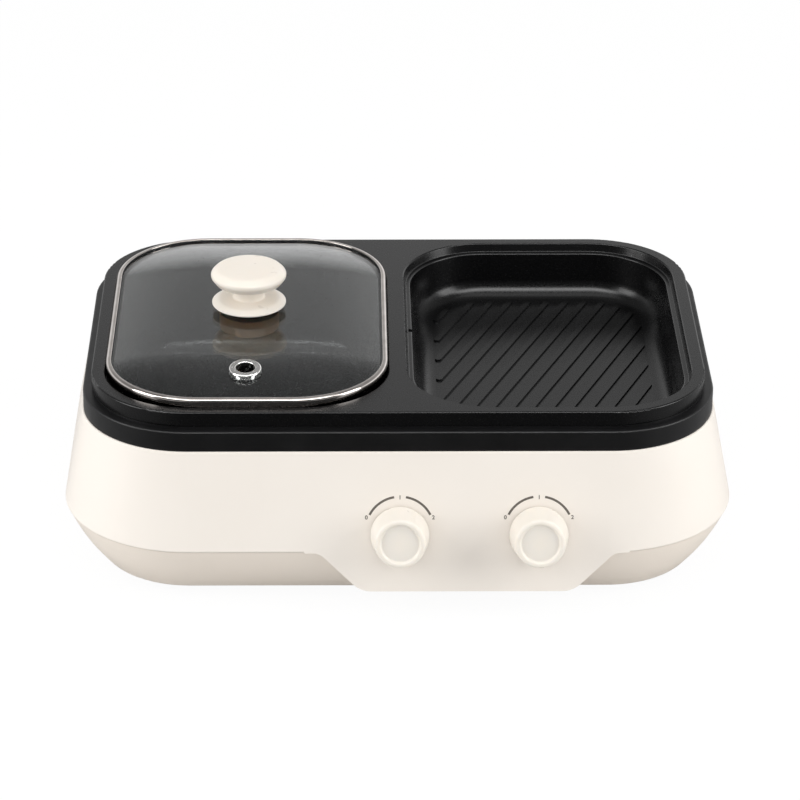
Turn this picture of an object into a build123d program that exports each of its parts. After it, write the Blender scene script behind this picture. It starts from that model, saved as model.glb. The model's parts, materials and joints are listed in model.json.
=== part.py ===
from build123d import *

import math
import os

# A two-well electric hot pot and grill. Lengths are in millimetres and angles in degrees.
# +Z is up and the control panel faces -Y. Every outline is a rounded rectangle whose corner
# centres lie on one "core" rectangle, so a size across is written as an offset from that core.

# ---- Plan of the cast tray and its two wells ----
WELL_CORE_X = 34.0  # half the distance between a well's corner centres, left to right
CORE_Y = 66.3  # half the distance between corner centres, front to back, of every outline
WELL_RECESS = 52.5  # corner radius of the recess that the lid sits in
LEDGE_WIDTH = 4.3  # shelf round each well that carries the lid's rim
LAND_FRONT = 7.2  # flat top of the tray in front of and behind a recess
LAND_SIDE = 8.2  # flat top beside a recess
LAND_CENTRE = 11.0  # flat top between the two recesses

# ---- Heights ----
FOOT_HEIGHT = 5.0
LOWER_HEIGHT = 35.6  # bottom shell, from its floor to the seam
UPPER_HEIGHT = 62.0  # upper shell, from the seam to the support ring
RING_HEIGHT = 12.8  # visible height of the support ring
SEAT_RISE = 1.0  # raised seat that holds the tray off the ring's shoulder
TRAY_EDGE = 9.5  # thickness of the tray's rim
RECESS_DEPTH = 5.5
POT_DEPTH = 71.6  # from the tray's top to the pot's floor
GRILL_DEPTH = 33.9

# ---- Outline of the housing ----
RING_REVEAL = 5.4  # how far the support ring shows outside the tray
SHELL_REVEAL = 1.0  # how far the shell's top edge shows outside the ring
FLARE = 12.5  # how far the upper wall leans out on its way down to the seam
TUCK = 23.2  # how far the bottom shell draws in below the seam
BASE_BULGE = 3.0  # how far the bottom shell's wall swells half-way up
BASE_BULGE_ROUND = 110.0
SEAM_STEP = 1.0  # the upper shell overhangs the bottom shell by this much
WALL = 2.8
FLOOR = 3.0
FLANGE_REACH = 11.4  # inward flange on top of the upper shell
SEAM_ROUND = 1.4
SHELL_TOP_ROUND = 1.0
FLOOR_ROUND = 4.0
FLANGE_ROUND = 2.0
LIP_HEIGHT = 4.0  # locating lip of the bottom shell inside the upper shell
LIP_THICKNESS = 1.6
LIP_CLEARANCE = 0.3

# ---- Control tongue, the part of the front wall that hangs over the bottom shell ----
TONGUE_X = 40.7
TONGUE_DROP = 23.5
TONGUE_BOTTOM_WIDTH = 127.6
TONGUE_SLANT = 43.5  # angle of the slanted ends from the horizontal
TONGUE_ROUND = 16.0
TONGUE_ROOT_ROUND = 9.0  # where the slanted ends run into the seam
TONGUE_BACK_CLEARANCE = 0.2

# ---- Support ring ----
RING_WALL = 3.0
RING_TOP = 3.0
RING_INNER_WALL = 2.0
RING_SEAT_WIDTH = 5.4
RING_TOP_ROUND = 1.2
RING_BOSS_RADIUS = 3.1

# ---- Cast tray ----
PAN_WALL = 3.0
PAN_FLOOR = 3.5
WELL_DRAFT = 8.0
WELL_ROUND = 12.0  # fillet between a well's wall and floor
TRAY_TOP_ROUND = 1.0
TRAY_BOTTOM_ROUND = 0.9
LEDGE_ROUND = 1.2
RECESS_ROUND = 0.7
RECESS_CHAMFER = 0.6
GRILL_RECESS_SLOPE = 1.4  # the grill's recess narrows by this much towards its ledge
RIB_HEIGHT = 1.1
RIB_BASE = 4.4
RIB_TOP = 3.8
RIB_PITCH = 11.2
RIB_ANGLE = 66.6
RIB_PHASE = 1.8  # shift of the rib pattern across the ribs
RIB_MARGIN = 0.4  # flat floor left beyond the ribs' ends
NOTCH_WIDTH = 4.0  # drain notch through the inner ledge of the grill
NOTCH_DEPTH = 1.8
NOTCH_Y = -2.0

# ---- Lid ----
LID_CLEARANCE = 0.5
LID_CORNER = 58.0
RIM_HEIGHT = 10.4
RIM_WIDTH = 3.2
RIM_SHEET = 0.7
RIM_TOP_ROUND = 1.9
RIM_BOTTOM_ROUND = 1.5
RIM_LIP_ROUND = 0.4
SEAL_LIP = 0.8  # seal between the rim's upper lip and the glass
SEAL_EDGE = 1.4  # seal between the rim's wall and the glass edge
GLASS = 4.0
GLASS_RISE = 6.1
GLASS_MARGIN = 0.9  # flat margin of the glass inside the rim
GLASS_PLATEAU = 1.5  # offset at which the crown starts to fall
GLASS_MARGIN_ROUND = 8.0
GLASS_EDGE_ROUND = 0.8
VENT_X = -0.4
VENT_Y = -85.0
VENT_RADIUS = 9.8
VENT_BORE = 5.9
VENT_SLEEVE = 7.4
VENT_HOLE_CLEARANCE = 0.2
VENT_FLANGE = 1.4
VENT_ROUND = 1.2  # rolled outer edge of the eyelet
VENT_SEAT_CLEARANCE = 0.3

# ---- Lid knob ----
KNOB_WASHER = 0.6
LID_FLANGE_RADIUS = 23.0
LID_FLANGE = 7.3
LID_FLANGE_UNDERCUT = 7.6  # the underside leans out by this much
LID_FLANGE_LIFT = 3.6  # the edge stands this far above the washer
LID_FLANGE_EDGE = 0.8
LID_FLANGE_SHOULDER = 4.0
LID_FLANGE_FALL = 0.7  # fall of the top from the stem to the shoulder
LID_FLANGE_ROUND = 6.0
LID_STEM_RADIUS = 9.5
LID_STEM = 10.1
LID_STEM_ROUND = 1.2
LID_CAP_RADIUS = 23.4
LID_CAP = 10.6
LID_CAP_CROWN = 1.0
LID_CAP_BAND = 2.2  # upright part of the cap's side
LID_CAP_UNDERCUT = 3.0
LID_CAP_SHOULDER = 3.4
LID_CAP_SIDE_ROUND = 2.4
LID_SCREW_RADIUS = 2.0
LID_SCREW_GRIP = 8.0  # screw thread inside the cap
LID_SCREW_HEAD_RADIUS = 4.6
LID_SCREW_HEAD = 2.4
LID_SCREW_CLEARANCE = 0.3
INNER_WASHER_RADIUS = 18.6
INNER_WASHER = 11.4
INNER_WASHER_ROUND = 2.0
INNER_WASHER_POCKET = 3.0  # sinks the screw's head
GLASS_HOLE_CLEARANCE = 1.5

# ---- Control knobs and thermostats ----
CONTROL_X = 0.4  # the left knob's axis
CONTROL_SPACING = 83.1
CONTROL_RISE = 12.0  # the knobs' axes above the seam, along the panel
CONTROL_RADIUS = 17.6
CONTROL_FRONT_RADIUS = 14.9
CONTROL_HEIGHT = 19.4
CONTROL_SKIRT = 2.2
CONTROL_GAP = 0.9  # running gap between knob and panel
CONTROL_WALL = 2.0
CONTROL_EDGE_ROUND = 1.9
DISH_RADIUS = 12.3
DISH_DEPTH = 1.4
DISH_SLOPE = 1.1
MARK_RADIUS = 0.75  # pointer dot on the knob's skirt
LEFT_MARK = 24.0  # the pointer's angle left of the top mark
RIGHT_MARK = -27.0
HUB_RADIUS = 5.6
SHAFT_RADIUS = 3.0
SHAFT_CLEARANCE = 0.05
SHAFT_FLAT = 1.9  # distance of the shaft's flat from its axis
SHAFT_GRIP = 9.6  # length of shaft inside the knob's hub
CLIP_THICKNESS = 0.4
CLIP_WIDTH = 3.6
CLIP_CLEARANCE = 0.02
PANEL_HOLE_CLEARANCE = 0.5
PLATE_LENGTH = 30.0
PLATE_WIDTH = 24.0
PLATE = 1.2
THERMOSTAT_SIZE = 27.0
THERMOSTAT_DEPTH = 16.0
THERMOSTAT_BORE = 12.0
THERMOSTAT_SCREW_SPAN = 22.0
TAB_WIDTH = 6.3
TAB_THICKNESS = 0.8
TAB_LENGTH = 8.0
TAB_SPACING = 12.0

# ---- Heating elements and what carries them ----
TUBE_RADIUS = 3.5
ELEMENT_GAP = 0.4  # between the element's tube and the pan's underside
ELEMENT_OUTER_X = 46.0
ELEMENT_INNER_X = 16.0
ELEMENT_END_Y = 80.0
ELEMENT_TURN_Y = 52.0
ELEMENT_BEND = 13.5
ELEMENT_LEG_X = 14.0
ELEMENT_LEG = 24.0  # length of the straight legs below the tube's centre line
PIN_RADIUS = 1.6
PIN_LENGTH = 9.0
REFLECTOR_SHEET = 0.8
REFLECTOR_DEPTH = 13.0
REFLECTOR_OFFSET = 41.0
REFLECTOR_LEAN = 3.0
REFLECTOR_CURL = 2.0
REFLECTOR_ROUND = 4.0
LEG_HOLE_CLEARANCE = 1.2
STRAP_WIDTH = 10.0
STRAP_SHEET = 1.0
STRAP_REACH = 58.0
STRAP_Y = 24.0
STRAP_GAP = 0.1
POST_RADIUS = 5.0
POST_X = 31.0
POST_Y = 60.0
FUSE_RADIUS = 2.1
FUSE_LENGTH = 12.0
FUSE_CLEARANCE = 0.05
CLAMP_WIDTH = 7.0
CLAMP_SHEET = 0.8

# ---- Screws ----
SCREW_RADIUS = 1.5
SCREW_HEAD_RADIUS = 2.8
SCREW_HEAD = 1.6
SCREW_FIT = 0.05  # radial play of a screw in its pilot hole
SCREW_PASS = 0.3  # radial play of a screw in a through hole
SHELL_SCREW = 26.0
POST_SCREW = 12.0
RING_SCREW = 11.0
PLATE_SCREW = 9.0
CROSS_WIDTH = 0.8
CROSS_LENGTH = 3.2
CROSS_DEPTH = 0.9

# ---- Shell bosses ----
BOSS_RADIUS = 4.5
CORNER_BOSS_OFFSET = 50.0
SIDE_BOSS_OFFSET = 50.0
BOSS_SPLIT = 22.0  # top of the bottom shell's bosses above its floor
BOSS_GAP = 0.2
UPPER_BOSS = 20.0
GUSSET = 2.4
HEAD_POCKET = 6.0
HEAD_POCKET_CLEARANCE = 0.8

# ---- Feet and floor vents ----
FOOT_RADIUS = 10.0
FOOT_X = 138.0
FOOT_Y = 82.0
FOOT_PEG_RADIUS = 3.0
FOOT_BARB_RADIUS = 4.0
FOOT_BARB = 2.0
FOOT_ROUND = 1.2
FOOT_HOLE_CLEARANCE = 0.1
VENT_SLOT_LENGTH = 34.0
VENT_SLOT_WIDTH = 3.0
VENT_SLOT_PITCH = 9.0
VENT_SLOT_COUNT = 7
VENT_SLOT_X = 60.0

# ---- Power inlet, a standard C14 appliance inlet ----
INLET_RISE = 24.0  # height of the inlet's centre above the seam, along the wall
INLET_FLANGE_WIDTH = 50.0
INLET_FLANGE_HEIGHT = 22.6
INLET_FLANGE = 3.0
INLET_BODY_WIDTH = 27.2
INLET_BODY_HEIGHT = 19.4
INLET_BODY_DEPTH = 21.0
INLET_CAVITY_WIDTH = 24.2
INLET_CAVITY_HEIGHT = 16.0
INLET_CAVITY_DEPTH = 16.0
INLET_CLEARANCE = 0.3
INLET_CORNER = 3.0
INLET_KEY = 4.6
INLET_SCREW_SPAN = 40.0
BLADE_WIDTH = 2.0
BLADE_HEIGHT = 4.0
BLADE_REACH = 9.0
BLADE_TAIL = 9.0
BLADE_SPACING = 7.0
EARTH_OFFSET = 3.0

# ---- Terminal block ----
BLOCK_X = 46.0
BLOCK_Y = 82.0
BLOCK_LENGTH = 38.0
BLOCK_WIDTH = 20.0
BLOCK_HEIGHT = 15.0
BLOCK_WAY_SPACING = 11.0
BLOCK_WAY_RADIUS = 1.9
BLOCK_FOOT = 7.0
BLOCK_FOOT_HEIGHT = 4.0

# ---- Levels and offsets worked out from the sizes above ----
FLOOR_Z = FOOT_HEIGHT
SEAM_Z = FLOOR_Z + LOWER_HEIGHT
SHELL_TOP_Z = SEAM_Z + UPPER_HEIGHT
SHOULDER_Z = SHELL_TOP_Z + RING_HEIGHT
SEAT_Z = SHOULDER_Z + SEAT_RISE
TRAY_TOP_Z = SEAT_Z + TRAY_EDGE
LEDGE_Z = TRAY_TOP_Z - RECESS_DEPTH
POT_FLOOR_Z = TRAY_TOP_Z - POT_DEPTH
GRILL_FLOOR_Z = TRAY_TOP_Z - GRILL_DEPTH
RIM_TOP_Z = LEDGE_Z + RIM_HEIGHT
GLASS_EDGE_Z = RIM_TOP_Z - RIM_SHEET - SEAL_LIP
GLASS_TOP_Z = GLASS_EDGE_Z + GLASS_RISE

TRAY_OFFSET = WELL_RECESS + LAND_FRONT
WELL_X = LAND_CENTRE / 2 + WELL_RECESS + WELL_CORE_X
CORE_X = WELL_X + WELL_CORE_X + WELL_RECESS + LAND_SIDE - TRAY_OFFSET
WELL_LEDGE = WELL_RECESS - LEDGE_WIDTH
RING_OFFSET = TRAY_OFFSET + RING_REVEAL
SHELL_OFFSET = RING_OFFSET + SHELL_REVEAL
SEAM_OFFSET = SHELL_OFFSET + FLARE
BASE_SEAM_OFFSET = SEAM_OFFSET - SEAM_STEP
BASE_OFFSET = SEAM_OFFSET - TUCK
FLANGE_OFFSET = SHELL_OFFSET - FLANGE_REACH
SEAT_OFFSET = FLANGE_OFFSET - SEAT_RISE
PANEL_TILT = math.degrees(math.atan(FLARE / UPPER_HEIGHT))
PANEL_WALL = WALL * math.cos(math.radians(PANEL_TILT))
LID_CORE_X = WELL_CORE_X + WELL_RECESS - LID_CLEARANCE - LID_CORNER
LID_CORE_Y = CORE_Y + WELL_RECESS - LID_CLEARANCE - LID_CORNER
GLASS_OFFSET = LID_CORNER - RIM_SHEET - SEAL_EDGE
CROWN_EDGE = LID_CORNER - RIM_WIDTH - GLASS_MARGIN

# The origin is the middle of the ground that the object covers, knobs included.
KNOB_REACH = CONTROL_GAP + CONTROL_HEIGHT
FRONT_REACH = CORE_Y + SEAM_OFFSET
FRONT_REACH -= CONTROL_RISE * math.sin(math.radians(PANEL_TILT))
FRONT_REACH += KNOB_REACH * math.cos(math.radians(PANEL_TILT))
FRONT_REACH += CONTROL_FRONT_RADIUS * math.sin(math.radians(PANEL_TILT))
BACK_REACH = CORE_Y + SEAM_OFFSET
ORIGIN_SHIFT = (FRONT_REACH - BACK_REACH) / 2

BIG = 400.0  # longer than anything here, for cutting tools
SINK = 0.5  # overlap that makes two shapes fuse


# ---- Shape helpers ----
def section(points, rounds):
    """A face of (offset, height) points in the XZ plane, with a rounding for each corner."""
    corners = [(offset, 0, height) for offset, height in points]
    return make_face(FilletPolyline(*corners, radius=rounds, close=True))


def carry(face, core_x, core_y):
    """Carry a section round a rectangle of corner centres, square along its sides."""
    corner = revolve(face, axis=Axis.Z, revolution_arc=90)
    pieces = []
    half_lengths = (core_x, core_y)
    for quarter in range(4):
        half, across = half_lengths[quarter % 2], half_lengths[(quarter + 1) % 2]
        side = extrude(face, amount=2 * across, dir=(0, 1, 0))
        pieces.append(Rot(Z=90 * quarter) * Pos(half, -across, 0) * side)
        pieces.append(Rot(Z=90 * quarter) * Pos(half, across, 0) * corner)
    return pieces[0].fuse(*pieces[1:])


def ring(points, rounds, core_x, core_y):
    """A closed ring with the section given."""
    return carry(section(points, rounds), core_x, core_y)


def disc(points, rounds, core_x, core_y):
    """A filled body: its section's first and last points lie on the core's own edge."""
    low, high = sorted((points[0][1], points[-1][1]))
    middle = Pos(0, 0, (low + high) / 2) * Box(2 * core_x, 2 * core_y, high - low)
    return carry(section(points, rounds), core_x, core_y).fuse(middle)


def plain(*offset_heights):
    """The same points with sharp corners, ready for ring() or disc()."""
    return list(offset_heights), [0] * len(offset_heights)


def turned(points, rounds):
    """A body turned about Z from (radius, height) points."""
    return revolve(section(points, rounds), axis=Axis.Z)


def rod(radius, low, high):
    """A cylinder about Z between two heights."""
    return Pos(0, 0, (low + high) / 2) * Cylinder(radius, high - low)


def block(low, high):
    """A box between two opposite corners."""
    size = [b - a for a, b in zip(low, high)]
    middle = [(a + b) / 2 for a, b in zip(low, high)]
    return Pos(*middle) * Box(*size)


def lerp(a, b, share):
    return a + (b - a) * share


def wall_offset(height):
    """Offset of the upper shell's outer face at a height, also below the seam."""
    return SEAM_OFFSET - FLARE * (height - SEAM_Z) / UPPER_HEIGHT


def bulge(share):
    """Swelling of the bottom shell's wall, greatest half-way between its ends."""
    return BASE_BULGE * (1 - abs(2 * share - 1))


def base_offset(height):
    """Offset of the bottom shell's outer face at a height."""
    share = (height - FLOOR_Z) / LOWER_HEIGHT
    return lerp(BASE_OFFSET, BASE_SEAM_OFFSET, share) + bulge(share)


def lip_offset(height):
    """Offset of the outer face of the bottom shell's locating lip at a height."""
    return wall_offset(height) - WALL - LIP_CLEARANCE


def base_inner_offset(height):
    """Offset of the bottom shell's inner face at a height."""
    low_z, high_z = FLOOR_Z + FLOOR, SEAM_Z - WALL
    low = base_offset(low_z) - WALL - LIP_THICKNESS
    high = lip_offset(SEAM_Z) - LIP_THICKNESS
    share = (height - low_z) / (high_z - low_z)
    return lerp(low, high, share) + bulge(share)


def screw(length, radius=SCREW_RADIUS, head_radius=SCREW_HEAD_RADIUS, head=SCREW_HEAD):
    """A pan-head screw that points up from the underside of its head at z = 0."""
    shape = turned(
        [(0, -head), (head_radius, -head), (head_radius, 0), (radius, 0),
         (radius, length), (0, length)],
        [0, head / 2, 0, 0, radius / 2, 0],
    )
    for turn in (0, 90):
        slot = Pos(0, 0, -head + CROSS_DEPTH / 2) * Box(CROSS_LENGTH, CROSS_WIDTH, CROSS_DEPTH)
        shape -= Rot(Z=turn) * slot
    return shape


def save(name, *shapes):
    """Write one node, moved so that the origin is the middle of the object's footprint."""
    solids = [solid for shape in shapes for solid in shape.solids()]
    moved = [Pos(0, ORIGIN_SHIFT, 0) * solid for solid in solids]
    whole = moved[0] if len(moved) == 1 else Compound(children=moved)
    export_step(whole, f"parts/{name}.step")


# ---- Places that several pieces share ----
PANEL = Plane(
    origin=(0, -(CORE_Y + SEAM_OFFSET), SEAM_Z),
    x_dir=(1, 0, 0),
    z_dir=(0, -math.cos(math.radians(PANEL_TILT)), math.sin(math.radians(PANEL_TILT))),
)
REAR = Plane(
    origin=(0, CORE_Y + SEAM_OFFSET, SEAM_Z),
    x_dir=(-1, 0, 0),
    z_dir=(0, math.cos(math.radians(PANEL_TILT)), math.sin(math.radians(PANEL_TILT))),
)
CONTROLS = {
    "left": PANEL.location * Pos(CONTROL_X, CONTROL_RISE, 0),
    "right": PANEL.location * Pos(CONTROL_X + CONTROL_SPACING, CONTROL_RISE, 0),
}
INLET = REAR.location * Pos(0, INLET_RISE, 0)
WELLS = {"left": -WELL_X, "right": WELL_X}
WELL_FLOORS = {"left": POT_FLOOR_Z, "right": GRILL_FLOOR_Z}


def shell_boss_places():
    """Axes of the screws that join the two shells: one in each corner and one at each side."""
    diagonal = CORNER_BOSS_OFFSET / math.sqrt(2)
    corners = [
        (x * (CORE_X + diagonal), y * (CORE_Y + diagonal), math.degrees(math.atan2(y, x)))
        for x in (-1, 1)
        for y in (-1, 1)
    ]
    sides = [(x * (CORE_X + SIDE_BOSS_OFFSET), 0, 90 - 90 * x) for x in (-1, 1)]
    return corners + sides


def ring_boss_places():
    """Axes of the screws that hold the support ring: in the corners and half-way along."""
    middle = (RING_OFFSET - RING_WALL + FLANGE_OFFSET + RING_INNER_WALL) / 2
    diagonal = middle / math.sqrt(2)
    x, y = CORE_X + diagonal, CORE_Y + diagonal
    corners = [(-x, -y), (-x, y), (x, -y), (x, y)]
    return corners + [(0, -CORE_Y - middle), (0, CORE_Y + middle)]


def post_places(side):
    """Axes of the posts that carry one reflector."""
    return [(WELLS[side] + x * POST_X, y * POST_Y) for x in (-1, 1) for y in (-1, 1)]


def foot_places():
    return [(x * FOOT_X, y * FOOT_Y) for x in (-1, 1) for y in (-1, 1)]


def element_level(side):
    """Height of the centre line of an element's tube."""
    return WELL_FLOORS[side] - PAN_FLOOR - ELEMENT_GAP - TUBE_RADIUS


def reflector_level(side):
    """Height of the top of a reflector's floor."""
    return element_level(side) + TUBE_RADIUS - REFLECTOR_DEPTH


# ---- Housing ----
def tongue_prism(inset, low, high):
    """The tongue's outline, drawn in by an inset and carried from front to back."""
    slant = math.radians(TONGUE_SLANT)
    bottom = TONGUE_BOTTOM_WIDTH / 2
    shrink = inset / math.sin(slant) - inset / math.tan(slant)
    bottom_z = SEAM_Z - TONGUE_DROP + inset
    bottom_half = bottom - shrink
    root = bottom_half + (SEAM_Z - bottom_z) / math.tan(slant)
    side = root + TONGUE_ROOT_ROUND
    corner = max(TONGUE_ROUND - inset, WALL)
    half = [(bottom_half, bottom_z), (root, SEAM_Z), (side, SEAM_Z), (side, high + SINK)]
    rounds = [corner, TONGUE_ROOT_ROUND, 0, 0]
    mirrored = [(-x, z) for x, z in reversed(half)]
    outline = section(half + mirrored, rounds + rounds[::-1])
    prism = Pos(TONGUE_X, 0, 0) * extrude(outline, amount=BIG, dir=(0, -1, 0))
    return prism & block((-BIG, -BIG, low), (BIG, 0, high))


def tongue():
    """Hollow continuation of the front wall below the seam, closed against the bottom shell."""
    low = SEAM_Z - TONGUE_DROP - SINK
    outer_points, sharp = plain(
        (0, low), (wall_offset(low), low), (SEAM_OFFSET, SEAM_Z), (0, SEAM_Z)
    )
    outer = disc(outer_points, sharp, CORE_X, CORE_Y)
    high = SEAM_Z + SINK
    inner_points, sharp = plain(
        (0, low), (wall_offset(low) - WALL, low), (wall_offset(high) - WALL, high), (0, high)
    )
    inner = disc(inner_points, sharp, CORE_X, CORE_Y)
    gap = TONGUE_BACK_CLEARANCE
    middle = FLOOR_Z + LOWER_HEIGHT / 2
    base_points, sharp = plain(
        (0, low),
        (base_offset(low) + gap, low),
        (base_offset(middle) + gap, middle),
        (BASE_SEAM_OFFSET + gap, SEAM_Z),
        (BASE_SEAM_OFFSET + gap, high),
        (0, high),
    )
    base = disc(base_points, sharp, CORE_X, CORE_Y)
    shape = outer & tongue_prism(0, low, SEAM_Z)
    shape -= inner & tongue_prism(WALL, low, high)
    return shape - base


def inlet_opening(width, height, low, high):
    """The keyed six-sided outline of a C14 inlet, as a prism between two depths."""
    half_w, half_h = width / 2, height / 2
    outline = Polyline(
        (-half_w, -half_h), (half_w, -half_h), (half_w, half_h - INLET_KEY),
        (half_w - INLET_KEY, half_h), (-half_w + INLET_KEY, half_h),
        (-half_w, half_h - INLET_KEY), close=True,
    )
    return Pos(0, 0, low) * extrude(make_face(outline), amount=high - low)


def upper_shell():
    flange_z = SHELL_TOP_Z - WALL
    shape = ring(
        [
            (SEAM_OFFSET - WALL, SEAM_Z),
            (SEAM_OFFSET, SEAM_Z),
            (SHELL_OFFSET, SHELL_TOP_Z),
            (FLANGE_OFFSET, SHELL_TOP_Z),
            (FLANGE_OFFSET, flange_z),
            (wall_offset(flange_z) - WALL, flange_z),
        ],
        [0, SEAM_ROUND, SHELL_TOP_ROUND, 0, 0, FLANGE_ROUND],
        CORE_X,
        CORE_Y,
    )
    tongue_top = tongue_prism(0, SEAM_Z - SINK, SEAM_Z + 2 * SEAM_ROUND)
    wall_points, sharp = plain(
        (SEAM_OFFSET - WALL, SEAM_Z),
        (SEAM_OFFSET, SEAM_Z),
        (wall_offset(SEAM_Z + 2 * SEAM_ROUND), SEAM_Z + 2 * SEAM_ROUND),
        (SEAM_OFFSET - WALL, SEAM_Z + 2 * SEAM_ROUND),
    )
    shape += ring(wall_points, sharp, CORE_X, CORE_Y) & tongue_top
    shape += tongue()
    boss_z = FLOOR_Z + FLOOR + BOSS_SPLIT + BOSS_GAP
    boss_top_z = boss_z + UPPER_BOSS
    lip_top_z = SEAM_Z + LIP_HEIGHT
    clear = lip_offset(lip_top_z) - LIP_THICKNESS - LIP_CLEARANCE
    inside_points, sharp = plain(
        (0, boss_z),
        (base_inner_offset(boss_z) - LIP_CLEARANCE, boss_z),
        (clear, SEAM_Z - WALL),
        (clear, lip_top_z + LIP_CLEARANCE),
        (wall_offset(lip_top_z) - WALL / 2, lip_top_z + LIP_CLEARANCE),
        (wall_offset(boss_top_z + SINK) - WALL / 2, boss_top_z + SINK),
        (0, boss_top_z + SINK),
    )
    inside = disc(inside_points, sharp, CORE_X, CORE_Y)
    for x, y, turn in shell_boss_places():
        boss = rod(BOSS_RADIUS, boss_z, boss_top_z)
        gusset = block((0, -GUSSET / 2, boss_z), (SEAM_OFFSET, GUSSET / 2, boss_top_z))
        place = Pos(x, y, 0)
        shape += (place * Rot(Z=turn) * (boss + gusset)) & inside
        shape -= place * rod(SCREW_RADIUS + SCREW_FIT, boss_z - SINK, boss_top_z - WALL)
    for x, y in ring_boss_places():
        shape -= Pos(x, y, 0) * rod(SCREW_RADIUS + SCREW_PASS, flange_z - SINK, SHELL_TOP_Z + SINK)
    for place in CONTROLS.values():
        shape -= place * rod(SHAFT_RADIUS + PANEL_HOLE_CLEARANCE, -2 * WALL, WALL)
        for x in (-1, 1):
            hole = rod(SCREW_RADIUS + SCREW_PASS, -2 * WALL, WALL)
            shape -= place * Pos(x * THERMOSTAT_SCREW_SPAN / 2, 0, 0) * hole
    shape -= INLET * inlet_opening(
        INLET_BODY_WIDTH + 2 * INLET_CLEARANCE, INLET_BODY_HEIGHT + 2 * INLET_CLEARANCE,
        -2 * WALL, WALL,
    )
    for x in (-1, 1):
        hole = rod(SCREW_RADIUS + SCREW_FIT, -2 * WALL, WALL)
        shape -= INLET * Pos(x * INLET_SCREW_SPAN / 2, 0, 0) * hole
    return shape


def bottom_shell():
    inner_z = FLOOR_Z + FLOOR
    lip_top_z = SEAM_Z + LIP_HEIGHT
    middle = FLOOR_Z + LOWER_HEIGHT / 2
    inner_middle = (inner_z + SEAM_Z - WALL) / 2
    shape = disc(
        [
            (0, FLOOR_Z),
            (BASE_OFFSET, FLOOR_Z),
            (base_offset(middle), middle),
            (BASE_SEAM_OFFSET, SEAM_Z),
            (lip_offset(SEAM_Z), SEAM_Z),
            (lip_offset(lip_top_z), lip_top_z),
            (lip_offset(lip_top_z) - LIP_THICKNESS, lip_top_z),
            (base_inner_offset(SEAM_Z - WALL), SEAM_Z - WALL),
            (base_inner_offset(inner_middle), inner_middle),
            (base_inner_offset(inner_z), inner_z),
            (0, inner_z),
        ],
        [0, FLOOR_ROUND, BASE_BULGE_ROUND, 0, 0, 0, 0, 0, BASE_BULGE_ROUND / 2, FLOOR_ROUND, 0],
        CORE_X,
        CORE_Y,
    )
    shape -= thermostat_bay()
    boss_top_z = inner_z + BOSS_SPLIT
    pocket_top_z = FLOOR_Z + HEAD_POCKET
    pocket_radius = SCREW_HEAD_RADIUS + HEAD_POCKET_CLEARANCE
    for x, y, turn in shell_boss_places():
        place = Pos(x, y, 0)
        shape += place * rod(BOSS_RADIUS, inner_z - SINK, boss_top_z)
        shape += place * rod(pocket_radius + WALL / 2, inner_z - SINK, pocket_top_z + WALL)
        shape -= place * rod(pocket_radius, FLOOR_Z - SINK, pocket_top_z)
        shape -= place * rod(SCREW_RADIUS + SCREW_PASS, FLOOR_Z, boss_top_z + SINK)
    for side in WELLS:
        post_top_z = reflector_level(side) - REFLECTOR_SHEET
        for x, y in post_places(side):
            shape += Pos(x, y, 0) * rod(POST_RADIUS, inner_z - SINK, post_top_z)
            pilot = rod(SCREW_RADIUS + SCREW_FIT, post_top_z - POST_SCREW, post_top_z + SINK)
            shape -= Pos(x, y, 0) * pilot
    foot_hole = rod(FOOT_PEG_RADIUS + FOOT_HOLE_CLEARANCE, FLOOR_Z - SINK, inner_z + SINK)
    for x, y in foot_places():
        shape -= Pos(x, y, 0) * foot_hole
    slot = extrude(SlotOverall(VENT_SLOT_LENGTH, VENT_SLOT_WIDTH), amount=BIG, both=True)
    slot &= block((-BIG, -BIG, FLOOR_Z - SINK), (BIG, BIG, inner_z + SINK))
    for x in (-VENT_SLOT_X, VENT_SLOT_X):
        for count in range(VENT_SLOT_COUNT):
            y = (count - (VENT_SLOT_COUNT - 1) / 2) * VENT_SLOT_PITCH
            shape -= Pos(x, y, 0) * slot
    pilot = rod(SCREW_RADIUS + SCREW_FIT, inner_z - SINK, inner_z + BLOCK_FOOT)
    for x in (-1, 1):
        place = Pos(BLOCK_X + x * (BLOCK_LENGTH + BLOCK_FOOT) / 2, BLOCK_Y, 0)
        shape += place * rod(POST_RADIUS, inner_z - SINK, inner_z + BLOCK_FOOT)
        shape -= place * pilot
    return shape


def thermostat_bay():
    """Room cut out of the bottom shell's front wall, behind the tongue, for the thermostats."""
    margin = THERMOSTAT_SIZE / 2 + WALL
    low = -THERMOSTAT_SIZE / 2 - WALL
    first = CONTROLS["left"] * Pos(-margin, low, 0)
    last = CONTROLS["right"] * Pos(margin, 0, 0)
    low_z = first.position.Z - THERMOSTAT_DEPTH * math.sin(math.radians(PANEL_TILT))
    return block(
        (first.position.X, -BIG, low_z), (last.position.X, -CORE_Y, SEAM_Z + LIP_HEIGHT + SINK)
    )


def feet():
    """Push-in rubber feet with a barbed peg through the floor."""
    inner_z = FLOOR_Z + FLOOR
    foot = turned(
        [
            (0, 0),
            (FOOT_RADIUS, 0),
            (FOOT_RADIUS, FLOOR_Z),
            (FOOT_PEG_RADIUS, FLOOR_Z),
            (FOOT_PEG_RADIUS, inner_z),
            (FOOT_BARB_RADIUS, inner_z),
            (FOOT_PEG_RADIUS - FOOT_HOLE_CLEARANCE, inner_z + FOOT_BARB),
            (0, inner_z + FOOT_BARB),
        ],
        [0, FOOT_ROUND, 0, 0, 0, 0, 0, 0],
    )
    return [Pos(x, y, 0) * foot for x, y in foot_places()]


def shell_screws():
    under_head = FLOOR_Z + HEAD_POCKET
    return [Pos(x, y, under_head) * screw(SHELL_SCREW) for x, y, turn in shell_boss_places()]


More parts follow.
